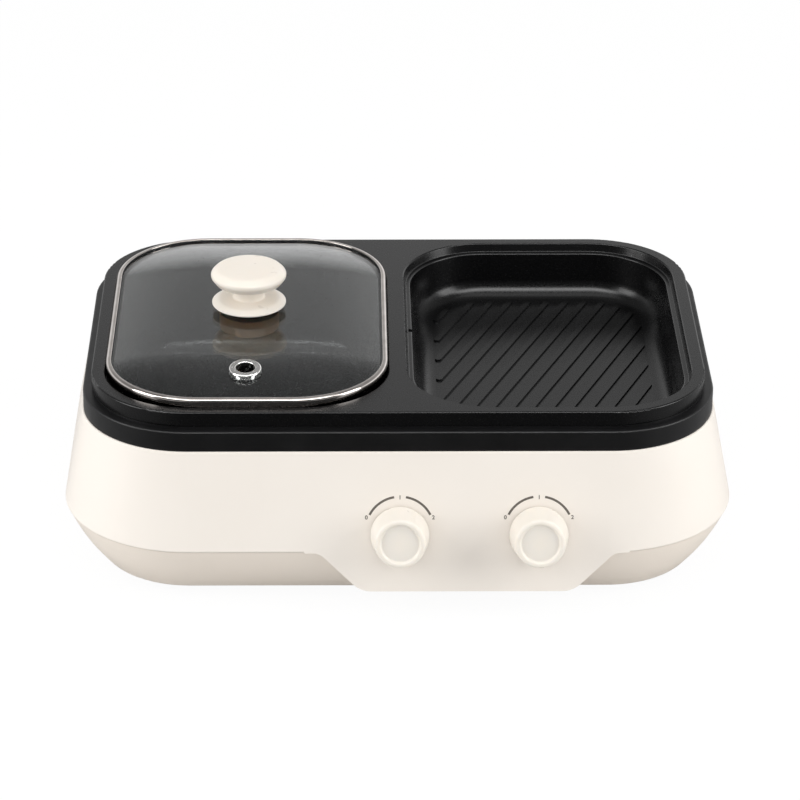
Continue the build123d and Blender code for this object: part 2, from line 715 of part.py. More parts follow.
def support_ring():
    top = SHOULDER_Z - RING_TOP
    bottom = SHELL_TOP_Z
    outer = ring(
        [
            (RING_OFFSET - RING_WALL, bottom),
            (RING_OFFSET, bottom),
            (RING_OFFSET, SHOULDER_Z),
            (SEAT_OFFSET + RING_SEAT_WIDTH, SHOULDER_Z),
            (SEAT_OFFSET + RING_SEAT_WIDTH, SEAT_Z),
            (SEAT_OFFSET, SEAT_Z),
            (SEAT_OFFSET, bottom),
            (SEAT_OFFSET + RING_INNER_WALL, bottom),
            (SEAT_OFFSET + RING_INNER_WALL, top),
            (RING_OFFSET - RING_WALL, top),
        ],
        [0, 0, RING_TOP_ROUND, 0, 0, 0, 0, 0, 0, 0],
        CORE_X,
        CORE_Y,
    )
    boss = rod(RING_BOSS_RADIUS, bottom, top + SINK)
    pilot = rod(SCREW_RADIUS + SCREW_FIT, bottom - SINK, top)
    for x, y in ring_boss_places():
        outer += Pos(x, y, 0) * boss
        outer -= Pos(x, y, 0) * pilot
    return outer


def ring_screws():
    under_head = SHELL_TOP_Z - WALL
    return [Pos(x, y, under_head) * screw(RING_SCREW) for x, y in ring_boss_places()]


# ---- Cast tray ----
def well_bottom(side):
    """Offset where a well's drafted wall would meet its floor."""
    drop = LEDGE_Z - WELL_FLOORS[side]
    return WELL_LEDGE - drop * math.tan(math.radians(WELL_DRAFT))


def rib_reach(x, y, angle, flat):
    """Distance from a point to the edge of the grill's flat floor, in one direction."""
    near, far = 0.0, 2 * (CORE_Y + flat)
    while far - near > RIB_MARGIN / 100:
        middle = (near + far) / 2
        beyond_x = max(abs(x + middle * math.cos(angle)) - WELL_CORE_X, 0)
        beyond_y = max(abs(y + middle * math.sin(angle)) - CORE_Y, 0)
        if math.hypot(beyond_x, beyond_y) < flat:
            near = middle
        else:
            far = middle
    return near


def grill_ribs():
    """Diagonal ribs with round ends, which stop where the grill's flat floor ends."""
    blend = WELL_ROUND * math.tan(math.radians((90 - WELL_DRAFT) / 2))
    flat = well_bottom("right") - blend - RIB_MARGIN
    profile = Polyline(
        (-RIB_BASE / 2, -SINK), (RIB_BASE / 2, -SINK), (RIB_BASE / 2, 0),
        (RIB_TOP / 2, RIB_HEIGHT), (-RIB_TOP / 2, RIB_HEIGHT), (-RIB_BASE / 2, 0), close=True,
    )
    end = turned(
        [(0, -SINK), (RIB_BASE / 2, -SINK), (RIB_BASE / 2, 0), (RIB_TOP / 2, RIB_HEIGHT),
         (0, RIB_HEIGHT)],
        [0] * 5,
    )
    face = Plane.XZ * make_face(profile)
    angle = math.radians(RIB_ANGLE)
    inside = flat - RIB_BASE / 2
    corner = WELL_CORE_X * math.sin(angle) + CORE_Y * math.cos(angle)
    widest = corner + inside - RIB_MARGIN
    count = math.ceil(widest / RIB_PITCH)
    ribs = []
    for step in range(-count, count + 1):
        shift = RIB_PHASE + step * RIB_PITCH
        if abs(shift) > widest:
            continue
        side = math.copysign(1, shift)
        beyond = shift - side * corner
        x = side * WELL_CORE_X + beyond * math.sin(angle)
        y = -side * CORE_Y - beyond * math.cos(angle)
        ahead = rib_reach(x, y, angle, inside)
        behind = rib_reach(x, y, angle + math.pi, inside)
        bar = extrude(face, amount=ahead + behind, dir=(0, 1, 0))
        bar += end + Pos(0, ahead + behind, 0) * end
        place = Pos(x, y, GRILL_FLOOR_Z) * Rot(Z=RIB_ANGLE - 90) * Pos(0, -behind, 0)
        ribs.append(place * bar)
    return ribs


def pan_tray():
    """One casting: the rim, the deep pot and the shallow ribbed grill."""
    tray = disc(
        [(0, SEAT_Z), (TRAY_OFFSET, SEAT_Z), (TRAY_OFFSET, TRAY_TOP_Z), (0, TRAY_TOP_Z)],
        [0, TRAY_BOTTOM_ROUND, TRAY_TOP_ROUND, 0],
        CORE_X,
        CORE_Y,
    )
    above = TRAY_TOP_Z + SINK
    for side, x in WELLS.items():
        floor_z = WELL_FLOORS[side]
        bottom = well_bottom(side)
        outer = disc(
            [
                (0, floor_z - PAN_FLOOR),
                (bottom + PAN_WALL, floor_z - PAN_FLOOR),
                (WELL_LEDGE + PAN_WALL, SEAT_Z + SINK),
                (0, SEAT_Z + SINK),
            ],
            [0, WELL_ROUND + PAN_WALL, 0, 0],
            WELL_CORE_X,
            CORE_Y,
        )
        tray += Pos(x, 0, 0) * outer
    for side, x in WELLS.items():
        floor_z = WELL_FLOORS[side]
        slope = GRILL_RECESS_SLOPE if side == "right" else 0
        inner = disc(
            [
                (0, floor_z),
                (well_bottom(side), floor_z),
                (WELL_LEDGE, LEDGE_Z),
                (WELL_RECESS - slope, LEDGE_Z),
                (WELL_RECESS, TRAY_TOP_Z - RECESS_CHAMFER),
                (WELL_RECESS + RECESS_CHAMFER + SINK, above),
                (0, above),
            ],
            [0, WELL_ROUND, LEDGE_ROUND, RECESS_ROUND, RECESS_ROUND, 0, 0],
            WELL_CORE_X,
            CORE_Y,
        )
        tray -= Pos(x, 0, 0) * inner
    for rib in grill_ribs():
        tray += Pos(WELL_X, 0, 0) * rib
    ledge_x = WELL_X - WELL_CORE_X - WELL_RECESS + GRILL_RECESS_SLOPE + SINK
    notch = block(
        (ledge_x, NOTCH_Y - NOTCH_WIDTH / 2, LEDGE_Z - NOTCH_DEPTH),
        (ledge_x + LEDGE_WIDTH, NOTCH_Y + NOTCH_WIDTH / 2, LEDGE_Z + SINK),
    )
    return tray - notch


# ---- Lid ----
def on_lid(shape):
    return Pos(WELLS["left"], 0, 0) * shape


def glass_crown():
    """Where the crown's two tangents meet, the slope at its edge, and the radius of its arc."""
    run = CROWN_EDGE - GLASS_PLATEAU
    full_arc = (run**2 + GLASS_RISE**2) / (2 * GLASS_RISE)
    slope = math.asin(run / full_arc)
    meet = GLASS_PLATEAU + full_arc * math.tan(slope / 2)
    return meet, slope, full_arc - 2 * GLASS_MARGIN_ROUND


def glass_run(offset):
    """Distance of an offset from the start of the crown's arc."""
    meet, slope, arc = glass_crown()
    return max(offset - meet + arc * math.tan(slope / 2), 0.0)


def glass_height(offset):
    """Height of the glass's upper face at an offset on the crown's arc."""
    arc = glass_crown()[2]
    return GLASS_TOP_Z - arc + math.sqrt(arc**2 - glass_run(offset) ** 2)


def glass_slope(offset):
    """Slope of the glass at an offset on the crown's arc, in degrees."""
    return math.degrees(math.asin(glass_run(offset) / glass_crown()[2]))


def vent_place():
    """The steam vent stands square to the crowned glass near the lid's front."""
    offset = -VENT_Y - LID_CORE_Y
    return (
        Pos(WELLS["left"] + VENT_X, VENT_Y, glass_height(offset)) * Rot(X=glass_slope(offset))
    )


def lid_glass():
    """Tempered glass with a low crown and a flat margin."""
    meet, slope, arc = glass_crown()
    crown_z, edge_z = GLASS_TOP_Z, GLASS_EDGE_Z
    glass = disc(
        [
            (0, crown_z - GLASS),
            (meet, crown_z - GLASS),
            (CROWN_EDGE, edge_z - GLASS),
            (GLASS_OFFSET, edge_z - GLASS),
            (GLASS_OFFSET, edge_z),
            (CROWN_EDGE, edge_z),
            (meet, crown_z),
            (0, crown_z),
        ],
        [
            0, arc, GLASS_MARGIN_ROUND, GLASS_EDGE_ROUND,
            GLASS_EDGE_ROUND, GLASS_MARGIN_ROUND, arc, 0,
        ],
        LID_CORE_X,
        LID_CORE_Y,
    )
    glass = on_lid(glass)
    hole = rod(LID_SCREW_RADIUS + GLASS_HOLE_CLEARANCE, crown_z - 2 * GLASS, crown_z + GLASS)
    glass -= on_lid(hole)
    return glass - vent_place() * rod(VENT_SLEEVE + VENT_HOLE_CLEARANCE, -2 * GLASS, GLASS)


def lid_rim():
    """Rolled stainless band round the glass."""
    low, high = LEDGE_Z, RIM_TOP_Z
    inner = LID_CORNER - RIM_WIDTH
    band = LID_CORNER - RIM_SHEET
    return on_lid(
        ring(
            [
                (inner, low),
                (LID_CORNER, low),
                (LID_CORNER, high),
                (inner, high),
                (inner, high - RIM_SHEET),
                (band, high - RIM_SHEET),
                (band, low + RIM_SHEET),
                (inner, low + RIM_SHEET),
            ],
            [
                0, RIM_BOTTOM_ROUND, RIM_TOP_ROUND, RIM_LIP_ROUND,
                0, RIM_TOP_ROUND - RIM_SHEET, RIM_BOTTOM_ROUND - RIM_SHEET, 0,
            ],
            LID_CORE_X,
            LID_CORE_Y,
        )
    )


def lid_seal():
    """Silicone seal that fills the rim round the glass edge."""
    low, high = LEDGE_Z + RIM_SHEET, RIM_TOP_Z - RIM_SHEET
    inner = LID_CORNER - RIM_WIDTH
    band = LID_CORNER - RIM_SHEET
    return on_lid(
        ring(
            [
                (inner, low),
                (band, low),
                (band, high),
                (inner, high),
                (inner, GLASS_EDGE_Z),
                (GLASS_OFFSET, GLASS_EDGE_Z),
                (GLASS_OFFSET, GLASS_EDGE_Z - GLASS),
                (inner, GLASS_EDGE_Z - GLASS),
            ],
            [
                0, RIM_BOTTOM_ROUND - RIM_SHEET, RIM_TOP_ROUND - RIM_SHEET, 0,
                0, GLASS_EDGE_ROUND, GLASS_EDGE_ROUND, 0,
            ],
            LID_CORE_X,
            LID_CORE_Y,
        )
    )


def vent_grommet():
    """Metal eyelet that lines the steam hole, flared over the glass above and below."""
    above = VENT_SEAT_CLEARANCE
    below = -GLASS - VENT_SEAT_CLEARANCE
    eyelet = turned(
        [
            (VENT_BORE, below - VENT_FLANGE),
            (VENT_RADIUS, below - VENT_FLANGE),
            (VENT_RADIUS, below),
            (VENT_SLEEVE, below),
            (VENT_SLEEVE, above),
            (VENT_RADIUS, above),
            (VENT_RADIUS, above + VENT_FLANGE),
            (VENT_BORE, above + VENT_FLANGE),
        ],
        [VENT_FLANGE / 3, VENT_FLANGE / 3, 0, 0, 0, 0, VENT_ROUND, VENT_FLANGE / 2],
    )
    return vent_place() * eyelet


def lid_knob_washer():
    base = GLASS_TOP_Z
    bore = LID_SCREW_RADIUS + GLASS_HOLE_CLEARANCE
    washer = rod(LID_FLANGE_RADIUS - LID_FLANGE_UNDERCUT, base, base + KNOB_WASHER)
    return on_lid(washer - rod(bore, base - SINK, base + KNOB_WASHER + SINK))


def lid_knob_base():
    """Domed flange and stem of the lid's knob."""
    low = GLASS_TOP_Z + KNOB_WASHER
    high = low + LID_FLANGE
    top = high + LID_STEM
    bore = LID_SCREW_RADIUS + LID_SCREW_CLEARANCE
    edge_z = low + LID_FLANGE_LIFT
    return on_lid(
        turned(
            [
                (bore, low),
                (LID_FLANGE_RADIUS - LID_FLANGE_UNDERCUT, low),
                (LID_FLANGE_RADIUS, edge_z),
                (LID_FLANGE_RADIUS, edge_z + LID_FLANGE_EDGE),
                (LID_FLANGE_RADIUS - LID_FLANGE_SHOULDER, high - LID_FLANGE_FALL),
                (LID_STEM_RADIUS, high),
                (LID_STEM_RADIUS, top),
                (bore, top),
            ],
            [
                0, LID_FLANGE_EDGE, LID_FLANGE_EDGE / 3, LID_FLANGE_EDGE / 3,
                LID_FLANGE_ROUND, LID_STEM_ROUND, 0, 0,
            ],
        )
    )


def lid_knob_cap():
    """Mushroom cap of the lid's knob."""
    low = GLASS_TOP_Z + KNOB_WASHER + LID_FLANGE + LID_STEM
    high = low + LID_CAP
    pilot = LID_SCREW_RADIUS + SCREW_FIT
    crown_z = high - LID_CAP_CROWN
    band_z = crown_z - LID_CAP_SHOULDER
    return on_lid(
        turned(
            [
                (pilot, low),
                (LID_CAP_RADIUS - LID_CAP_UNDERCUT, low),
                (LID_CAP_RADIUS, band_z - LID_CAP_BAND),
                (LID_CAP_RADIUS, band_z),
                (LID_CAP_RADIUS - LID_CAP_SHOULDER, crown_z),
                (0, high),
                (0, low + LID_SCREW_GRIP),
                (pilot, low + LID_SCREW_GRIP),
            ],
            [
                0, LID_CAP_UNDERCUT / 2, LID_CAP_SIDE_ROUND, LID_CAP_SIDE_ROUND,
                2 * LID_CAP_SIDE_ROUND, 0, 0, 0,
            ],
        )
    )


def lid_inner_washer():
    """Thick seat under the glass, with a pocket for the screw's head."""
    top = GLASS_TOP_Z - GLASS
    low = top - INNER_WASHER
    bore = LID_SCREW_RADIUS + LID_SCREW_CLEARANCE
    pocket = LID_SCREW_HEAD_RADIUS + LID_SCREW_CLEARANCE
    pocket_z = low + INNER_WASHER_POCKET
    return on_lid(
        turned(
            [
                (pocket, low),
                (INNER_WASHER_RADIUS, low),
                (INNER_WASHER_RADIUS, top),
                (bore, top),
                (bore, pocket_z),
                (pocket, pocket_z),
            ],
            [LID_SCREW_CLEARANCE, INNER_WASHER_ROUND, 0, 0, 0, 0],
        )
    )


def lid_knob_screw():
    seat = INNER_WASHER - INNER_WASHER_POCKET
    under_head = GLASS_TOP_Z - GLASS - seat
    stack = seat + GLASS + KNOB_WASHER + LID_FLANGE + LID_STEM
    length = stack + LID_SCREW_GRIP - LID_SCREW_RADIUS / 2
    shape = screw(length, LID_SCREW_RADIUS, LID_SCREW_HEAD_RADIUS, LID_SCREW_HEAD)
    return on_lid(Pos(0, 0, under_head) * shape)


# ---- Controls: these shapes stand on the panel at z = 0, pointing out along +Z ----
def control_knob():
    """A hollow knob with a dished face, a D-bored hub and a pointer dot on its skirt."""
    back, front = CONTROL_GAP, CONTROL_GAP + CONTROL_HEIGHT
    dish_z = front - DISH_DEPTH
    inner_z = dish_z - CONTROL_WALL
    bore = SHAFT_RADIUS + SHAFT_CLEARANCE
    bore_z = SHAFT_GRIP + back + SHAFT_CLEARANCE
    skirt_z = back + CONTROL_SKIRT
    knob = turned(
        [
            (0, dish_z),
            (DISH_RADIUS - DISH_SLOPE, dish_z),
            (DISH_RADIUS, front),
            (CONTROL_FRONT_RADIUS, front),
            (CONTROL_RADIUS, skirt_z),
            (CONTROL_RADIUS, back),
            (CONTROL_RADIUS - CONTROL_WALL, back),
            (CONTROL_FRONT_RADIUS - CONTROL_WALL, inner_z),
            (HUB_RADIUS, inner_z),
            (HUB_RADIUS, back),
            (bore, back),
            (bore, bore_z),
            (0, bore_z),
        ],
        [
            0, DISH_SLOPE, DISH_SLOPE, CONTROL_EDGE_ROUND, CONTROL_EDGE_ROUND,
            CONTROL_WALL / 4, 0, CONTROL_WALL / 2, CONTROL_WALL / 2, 0, 0, 0, 0,
        ],
    )
    seat_y = SHAFT_FLAT + CLIP_THICKNESS + 2 * CLIP_CLEARANCE
    key = block((-bore, seat_y, back), (bore, bore + SINK, bore_z)) & rod(HUB_RADIUS, back, bore_z)
    knob += key
    dot = Pos(0, CONTROL_RADIUS, back + CONTROL_SKIRT / 2) * Sphere(MARK_RADIUS)
    return knob - dot


def control_shaft():
    """Shaft with a flat for the knob and a full round through the thermostat."""
    back = -PANEL_WALL - PLATE - THERMOSTAT_BORE
    tip = CONTROL_GAP + SHAFT_GRIP
    shaft = turned(
        [(0, back), (SHAFT_RADIUS, back), (SHAFT_RADIUS, tip), (0, tip)],
        [0, SHAFT_RADIUS / 6, SHAFT_RADIUS / 6, 0],
    )
    flat = block((-BIG, SHAFT_FLAT, CONTROL_GAP), (BIG, BIG, tip + SINK))
    return shaft - flat


def knob_clip():
    """Leaf spring between the shaft's flat and the hub."""
    low = SHAFT_FLAT + CLIP_CLEARANCE
    return block(
        (-CLIP_WIDTH / 2, low, CONTROL_GAP),
        (CLIP_WIDTH / 2, low + CLIP_THICKNESS, CONTROL_GAP + SHAFT_GRIP - CLIP_THICKNESS),
    )


def thermostat_plate():
    top = -PANEL_WALL
    plate = Pos(0, 0, top - PLATE / 2) * Box(PLATE_LENGTH, PLATE_WIDTH, PLATE)
    plate = fillet(plate.edges().filter_by(Axis.Z), PLATE)
    plate -= rod(SHAFT_RADIUS + SHAFT_CLEARANCE, -BIG, BIG)
    for x in (-1, 1):
        hole = rod(SCREW_RADIUS + SCREW_FIT, -BIG, BIG)
        plate -= Pos(x * THERMOSTAT_SCREW_SPAN / 2, 0, 0) * hole
    return plate


def thermostat_body():
    top = -PANEL_WALL - PLATE
    bottom = top - THERMOSTAT_DEPTH
    half = THERMOSTAT_SIZE / 2
    body = block((-half, -half, bottom), (half, half, top))
    body = fillet(body.edges().filter_by(Axis.Z), PLATE)
    bore_z = top - THERMOSTAT_BORE - SHAFT_CLEARANCE
    body -= rod(SHAFT_RADIUS + SHAFT_CLEARANCE, bore_z, top + SINK)
    for x in (-1, 1):
        hole = rod(SCREW_RADIUS + SCREW_FIT, top - PLATE_SCREW, top + SINK)
        body -= Pos(x * THERMOSTAT_SCREW_SPAN / 2, 0, 0) * hole
    return body


def thermostat_screws():
    """Screws through the panel, hidden under each knob's hollow back."""
    shape = Rot(X=180) * screw(PLATE_SCREW)
    return [Pos(x * THERMOSTAT_SCREW_SPAN / 2, 0, 0) * shape for x in (-1, 1)]


def thermostat_tabs():
    top = -PANEL_WALL - PLATE - THERMOSTAT_DEPTH
    tab = Box(TAB_WIDTH, TAB_THICKNESS, TAB_LENGTH)
    return [Pos(x * TAB_SPACING / 2, 0, top - TAB_LENGTH / 2) * tab for x in (-1, 1)]


# ---- Heating elements and their carriers ----
def element_route(side):
    """Corner points of one element: up a leg, through an M of four long runs, down a leg."""
    level = element_level(side)
    half = [
        (ELEMENT_LEG_X, -ELEMENT_END_Y, level - ELEMENT_LEG),
        (ELEMENT_LEG_X, -ELEMENT_END_Y, level),
        (ELEMENT_OUTER_X, -ELEMENT_END_Y, level),
        (ELEMENT_OUTER_X, ELEMENT_END_Y, level),
        (ELEMENT_INNER_X, ELEMENT_END_Y, level),
        (ELEMENT_INNER_X, -ELEMENT_TURN_Y, level),
    ]
    mirrored = [(-x, y, z) for x, y, z in reversed(half)]
    return [(WELLS[side] + x, y, z) for x, y, z in half + mirrored]


def element(side):
    """Sheathed tubular heating element."""
    path = FilletPolyline(*element_route(side), radius=ELEMENT_BEND)
    start = Plane(origin=path @ 0, z_dir=path % 0)
    return sweep(start * Circle(TUBE_RADIUS), path=path)


def element_pins(side):
    """Terminal pins that stand out of the element's two legs."""
    top = element_level(side) - ELEMENT_LEG
    pin = rod(PIN_RADIUS, top - PIN_LENGTH, top)
    x = WELLS[side]
    return [Pos(x + leg * ELEMENT_LEG_X, -ELEMENT_END_Y, 0) * pin for leg in (-1, 1)]


def reflector(side):
    """Pressed dish under an element."""
    low = reflector_level(side) - REFLECTOR_SHEET
    high = element_level(side)
    rim = REFLECTOR_OFFSET
    foot = rim - REFLECTOR_LEAN
    sheet = REFLECTOR_SHEET
    dish = disc(
        [
            (0, low),
            (foot, low),
            (rim, high - sheet),
            (rim + REFLECTOR_CURL, high - sheet),
            (rim + REFLECTOR_CURL, high),
            (rim - sheet, high),
            (foot - sheet, low + sheet),
            (0, low + sheet),
        ],
        [0, REFLECTOR_ROUND, 0, 0, 0, 0, REFLECTOR_ROUND - sheet, 0],
        WELL_CORE_X,
        CORE_Y,
    )
    dish = Pos(WELLS[side], 0, 0) * dish
    for leg in (-1, 1):
        hole = rod(TUBE_RADIUS + LEG_HOLE_CLEARANCE, low - SINK, low + sheet + SINK)
        dish -= Pos(WELLS[side] + leg * ELEMENT_LEG_X, -ELEMENT_END_Y, 0) * hole
    for x, y in post_places(side):
        dish -= Pos(x, y, 0) * rod(SCREW_RADIUS + SCREW_PASS, low - SINK, low + sheet + SINK)
    return dish


def reflector_screws(side):
    top = reflector_level(side)
    shape = Rot(X=180) * screw(POST_SCREW)
    return [Pos(x, y, top) * shape for x, y in post_places(side)]


def element_straps(side):
    """Bent straps across the reflector that the element's runs rest on."""
    low = reflector_level(side)
    high = element_level(side) - TUBE_RADIUS - STRAP_GAP
    half = STRAP_REACH
    sheet = STRAP_SHEET
    inner = half - sheet
    foot = half + STRAP_WIDTH
    outline = Polyline(
        (-foot, low), (-inner, low), (-inner, high - sheet), (inner, high - sheet),
        (inner, low), (foot, low), (foot, low + sheet), (half, low + sheet),
        (half, high), (-half, high), (-half, low + sheet), (-foot, low + sheet), close=True,
    )
    strap = extrude(Plane.XZ * make_face(outline), amount=STRAP_WIDTH / 2, both=True)
    return [Pos(WELLS[side], y, 0) * strap for y in (-STRAP_Y, STRAP_Y)]


def fuse_place(side):
    """A thermal cut-off lies under the middle of each reflector."""
    under = reflector_level(side) - REFLECTOR_SHEET
    return Pos(WELLS[side], 0, under - FUSE_RADIUS - FUSE_CLEARANCE)


def thermal_fuse(side):
    return fuse_place(side) * Rot(Y=90) * Cylinder(FUSE_RADIUS, FUSE_LENGTH)


def fuse_clamp(side):
    """Strap that holds the thermal cut-off up against the reflector."""
    top = FUSE_RADIUS + FUSE_CLEARANCE
    inner = top
    outer = inner + CLAMP_SHEET
    wing = outer + CLAMP_WIDTH
    outline = Polyline(
        (-wing, top), (-inner, top), (-inner, -inner), (inner, -inner), (inner, top), (wing, top),
        (wing, top - CLAMP_SHEET), (outer, top - CLAMP_SHEET), (outer, -outer), (-outer, -outer),
        (-outer, top - CLAMP_SHEET), (-wing, top - CLAMP_SHEET), close=True,
    )
    clamp = extrude(Plane.YZ * make_face(outline), amount=CLAMP_WIDTH / 2, both=True)
    return fuse_place(side) * clamp


# ---- Power inlet: these shapes stand on the rear wall at z = 0, pointing out along +Z ----
def power_inlet():
    flange = Pos(0, 0, INLET_FLANGE / 2) * Box(
        INLET_FLANGE_WIDTH, INLET_FLANGE_HEIGHT, INLET_FLANGE
    )
    flange = fillet(flange.edges().filter_by(Axis.Z), INLET_CORNER)
    body = inlet_opening(INLET_BODY_WIDTH, INLET_BODY_HEIGHT, -INLET_BODY_DEPTH, INLET_FLANGE)
    shape = flange + body
    cavity_z = INLET_FLANGE - INLET_CAVITY_DEPTH
    shape -= inlet_opening(INLET_CAVITY_WIDTH, INLET_CAVITY_HEIGHT, cavity_z, INLET_FLANGE + SINK)
    for x, y in blade_places():
        slot = Box(BLADE_WIDTH, BLADE_HEIGHT, BIG)
        shape -= Pos(x, y, 0) * slot
    for x in (-1, 1):
        hole = rod(SCREW_RADIUS + SCREW_PASS, -SINK, INLET_FLANGE + SINK)
        shape -= Pos(x * INLET_SCREW_SPAN / 2, 0, 0) * hole
    return INLET * shape


def blade_places():
    """Live and neutral to the sides, with the earth blade raised between them."""
    half = EARTH_OFFSET / 2
    return [(-BLADE_SPACING, -half), (0, half), (BLADE_SPACING, -half)]


def inlet_blades():
    front = INLET_FLANGE - INLET_CAVITY_DEPTH + BLADE_REACH
    back = -INLET_BODY_DEPTH - BLADE_TAIL
    blade = Pos(0, 0, (front + back) / 2) * Box(BLADE_WIDTH, BLADE_HEIGHT, front - back)
    return [INLET * Pos(x, y, 0) * blade for x, y in blade_places()]


def inlet_screws():
    shape = Rot(X=180) * screw(PLATE_SCREW)
    return [
        INLET * Pos(x * INLET_SCREW_SPAN / 2, 0, INLET_FLANGE) * shape for x in (-1, 1)
    ]


# ---- Terminal block ----
def block_ways():
    return [BLOCK_X + step * BLOCK_WAY_SPACING for step in (-1, 0, 1)]


def terminal_block():
    """Ceramic block with three ways and two mounting ears."""
    low = FLOOR_Z + FLOOR
    ear_z = low + BLOCK_FOOT
    high = ear_z + BLOCK_HEIGHT
    half_l, half_w = BLOCK_LENGTH / 2, BLOCK_WIDTH / 2
    body = block((-half_l, -half_w, ear_z), (half_l, half_w, high))
    ears = block(
        (-half_l - BLOCK_FOOT - POST_RADIUS / 2, -POST_RADIUS, ear_z),
        (half_l + BLOCK_FOOT + POST_RADIUS / 2, POST_RADIUS, ear_z + BLOCK_FOOT_HEIGHT),
    )
    shape = Pos(BLOCK_X, BLOCK_Y, 0) * (body + ears)
    hole = rod(SCREW_RADIUS + SCREW_PASS, ear_z - SINK, ear_z + BLOCK_FOOT_HEIGHT + SINK)
    for x in (-1, 1):
        shape -= Pos(BLOCK_X + x * (BLOCK_LENGTH + BLOCK_FOOT) / 2, BLOCK_Y, 0) * hole
    way_z = lerp(ear_z, high, 0.5)
    for x in block_ways():
        shape -= Pos(x, BLOCK_Y, way_z) * Rot(X=90) * Cylinder(BLOCK_WAY_RADIUS, BIG)
        hole = rod(SCREW_RADIUS + SCREW_FIT, way_z, high + SINK)
        shape -= Pos(x, BLOCK_Y, 0) * hole
    return shape


def block_screws():
    """Two screws hold the block down."""
    top = FLOOR_Z + FLOOR + BLOCK_FOOT + BLOCK_FOOT_HEIGHT
    shape = Rot(X=180) * screw(BLOCK_FOOT_HEIGHT + BLOCK_FOOT - SINK)
    return [
        Pos(BLOCK_X + x * (BLOCK_LENGTH + BLOCK_FOOT) / 2, BLOCK_Y, top) * shape for x in (-1, 1)
    ]


# ---- Write every node ----
def main():
    os.makedirs("parts", exist_ok=True)
    save("upper_shell", upper_shell())
    save("bottom_shell", bottom_shell())
    save("support_ring", support_ring())
    save("feet", *feet())
    save("shell_screws", *shell_screws())
    save("ring_screws", *ring_screws())
    save("pan_tray", pan_tray())
    save("lid_glass", lid_glass())
    save("lid_rim", lid_rim())
    save("lid_seal", lid_seal())
    save("vent_grommet", vent_grommet())
    save("lid_knob_washer", lid_knob_washer())
    save("lid_knob_base", lid_knob_base())
    save("lid_knob_cap", lid_knob_cap())
    save("lid_inner_washer", lid_inner_washer())
    save("lid_knob_screw", lid_knob_screw())
    marks = {"left": LEFT_MARK, "right": RIGHT_MARK}
    for side, place in CONTROLS.items():
        turn = place * Rot(Z=marks[side])
        save(f"{side}_knob", turn * control_knob())
        save(f"{side}_shaft", turn * control_shaft())
        save(f"{side}_knob_clip", turn * knob_clip())
        save(f"{side}_thermostat", place * thermostat_body())
        save(f"{side}_thermostat_plate", place * thermostat_plate())
    save("thermostat_screws", *[p * s for p in CONTROLS.values() for s in thermostat_screws()])
    save("thermostat_tabs", *[p * s for p in CONTROLS.values() for s in thermostat_tabs()])
    for side in WELLS:
        save(f"{side}_element", element(side))
        save(f"{side}_reflector", reflector(side))
        save(f"{side}_element_straps", *element_straps(side))
        save(f"{side}_thermal_fuse", thermal_fuse(side))
        save(f"{side}_fuse_clamp", fuse_clamp(side))
    save("element_pins", *[pin for side in WELLS for pin in element_pins(side)])
    save("reflector_screws", *[one for side in WELLS for one in reflector_screws(side)])
    save("power_inlet", power_inlet())
    save("inlet_blades", *inlet_blades())
    save("inlet_screws", *inlet_screws())
    save("terminal_block", terminal_block())
    save("block_screws", *block_screws())


main()
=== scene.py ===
import json
import math

import bpy
from mathutils import Matrix, Vector


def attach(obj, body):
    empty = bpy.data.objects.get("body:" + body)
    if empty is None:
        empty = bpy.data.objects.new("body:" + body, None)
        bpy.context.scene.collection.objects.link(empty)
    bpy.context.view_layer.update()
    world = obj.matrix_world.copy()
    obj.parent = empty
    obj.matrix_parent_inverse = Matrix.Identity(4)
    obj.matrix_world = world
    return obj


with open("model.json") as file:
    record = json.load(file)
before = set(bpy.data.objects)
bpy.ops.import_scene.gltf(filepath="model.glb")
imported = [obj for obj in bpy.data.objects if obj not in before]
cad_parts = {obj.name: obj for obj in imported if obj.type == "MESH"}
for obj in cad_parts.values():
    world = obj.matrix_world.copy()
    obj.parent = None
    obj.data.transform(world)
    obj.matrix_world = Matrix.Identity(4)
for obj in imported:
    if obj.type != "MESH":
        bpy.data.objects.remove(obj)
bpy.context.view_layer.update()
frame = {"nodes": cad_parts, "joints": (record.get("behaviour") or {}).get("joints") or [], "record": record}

# An electric hot pot and grill, dressed for a studio picture. Lengths are in metres, angles in
# degrees. +Z is up, the control panel faces -Y, and every piece is placed in the CAD frame.

# ---- Camera ----
CAMERA_PLACE = (-0.0332, -1.9588, 1.0614)
CAMERA_PITCH = 26.707  # looking down by this much
CAMERA_ROLL = -0.11
CAMERA_LENS = 156.75  # millimetres, on the sensor below
CAMERA_SENSOR = 36.0
CAMERA_SHIFT = 0.0706  # the picture's middle lies right of the lens axis

# ---- Lamps ----
AIM = (0.0, 0.0, 0.06)
SOFTBOX_SIZE = (0.9, 1.3)
SOFTBOX_POWER = 17.0
SOFTBOX_PLACES = ((-1.6, -0.6, 0.8), (1.6, -0.6, 0.8))
TOP_BOX_SIZE = (1.6, 0.8)
TOP_BOX_POWER = 4.0
TOP_BOX_PLACE = (0.0, -0.1, 1.9)
KEY_SIZE = (1.1, 0.25)
KEY_POWER = 1.5
KEY_PLACE = (0.0, -1.35, 1.55)

# ---- Floor ----
FLOOR_SIZE = 30.0
FLOOR_DROP = 0.0002
FLOOR_COLOR = (0.70, 0.70, 0.70)
FLOOR_GLOW = 1.03  # with the share of lit floor below, the open floor comes out white
FLOOR_GLOW_SHARE = 0.92
FLOOR_GLOSS = 0.02  # what gloss sees of the floor in front of the panel
FLOOR_GLOSS_SIDE = 0.42  # and of the rest of the floor
FLAG_SIDE = (0.20, 0.42)  # the dark floor in front fades out between these distances to a side
FLAG_BACK = (-0.22, -0.05)  # and between these on its way back

